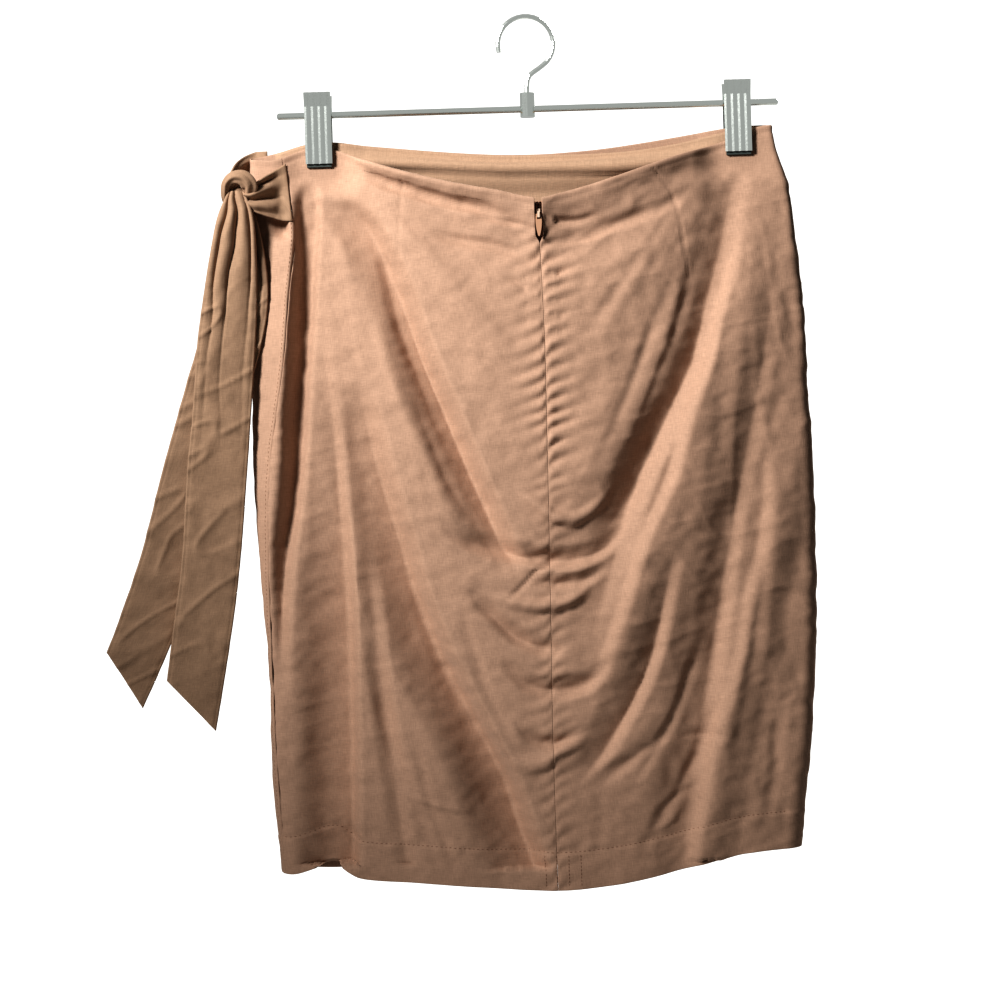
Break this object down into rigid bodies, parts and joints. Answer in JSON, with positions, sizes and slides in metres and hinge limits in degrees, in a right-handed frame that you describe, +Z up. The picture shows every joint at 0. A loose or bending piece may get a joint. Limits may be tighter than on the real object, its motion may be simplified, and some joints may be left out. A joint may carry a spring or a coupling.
{
  "type": "wrap skirt on a clip hanger",
  "caption": "Knee-length linen wrap skirt with a side sash knot, hung by its waist from a metal bar hanger with sliding clips and a wire hook.",
  "frame": {"origin": "the point inside the hook's crown that rests on a rail", "axes": "+Z up, -Y out of the skirt's back, which the picture shows, +X to the right as one looks at that back"},
  "size_m": [0.5321, 0.0814, 0.6526],
  "materials": {
    "linen": "dusty tan-rose plain-weave linen, matt with a soft sheen on the folds",
    "zip_tape": "fine woven tape, matt",
    "zip_enamel": "enamelled zinc, satin, in the colour of the cloth",
    "chrome": "bright plated steel",
    "rubber": "matt dark rubber"
  },
  "bodies": {
    "skirt": {"back_left": "linen", "back_right": "linen", "front_under": "linen", "front_wrap": "linen", "front_facing": "linen", "knot": "linen", "sash_root_back": "linen", "sash_root_front": "linen", "tail_near": "linen", "tail_far": "linen", "zip_tape": "zip_tape", "zip_slider": "zip_enamel", "clip_left_pad_front": "rubber", "clip_left_pad_back": "rubber", "clip_left_jaw_front": "chrome", "clip_left_jaw_back": "chrome", "clip_left_sleeve": "chrome", "clip_right_pad_front": "rubber", "clip_right_pad_back": "rubber", "clip_right_jaw_front": "chrome", "clip_right_jaw_back": "chrome", "clip_right_sleeve": "chrome", "hanger_bar": "chrome", "hanger_collar": "chrome", "hanger_hook": "chrome"},
    "pull_tab": {"zip_pull_tab": "zip_enamel"}
  },
  "joints": [
    {"name": "pull_tab_swing", "type": "hinge", "parent": "skirt", "child": "pull_tab", "pos_m": [0.00517, -0.03901, -0.15127], "axis": [-1, 0, 0], "range_deg": [0, 150]}
  ]
}
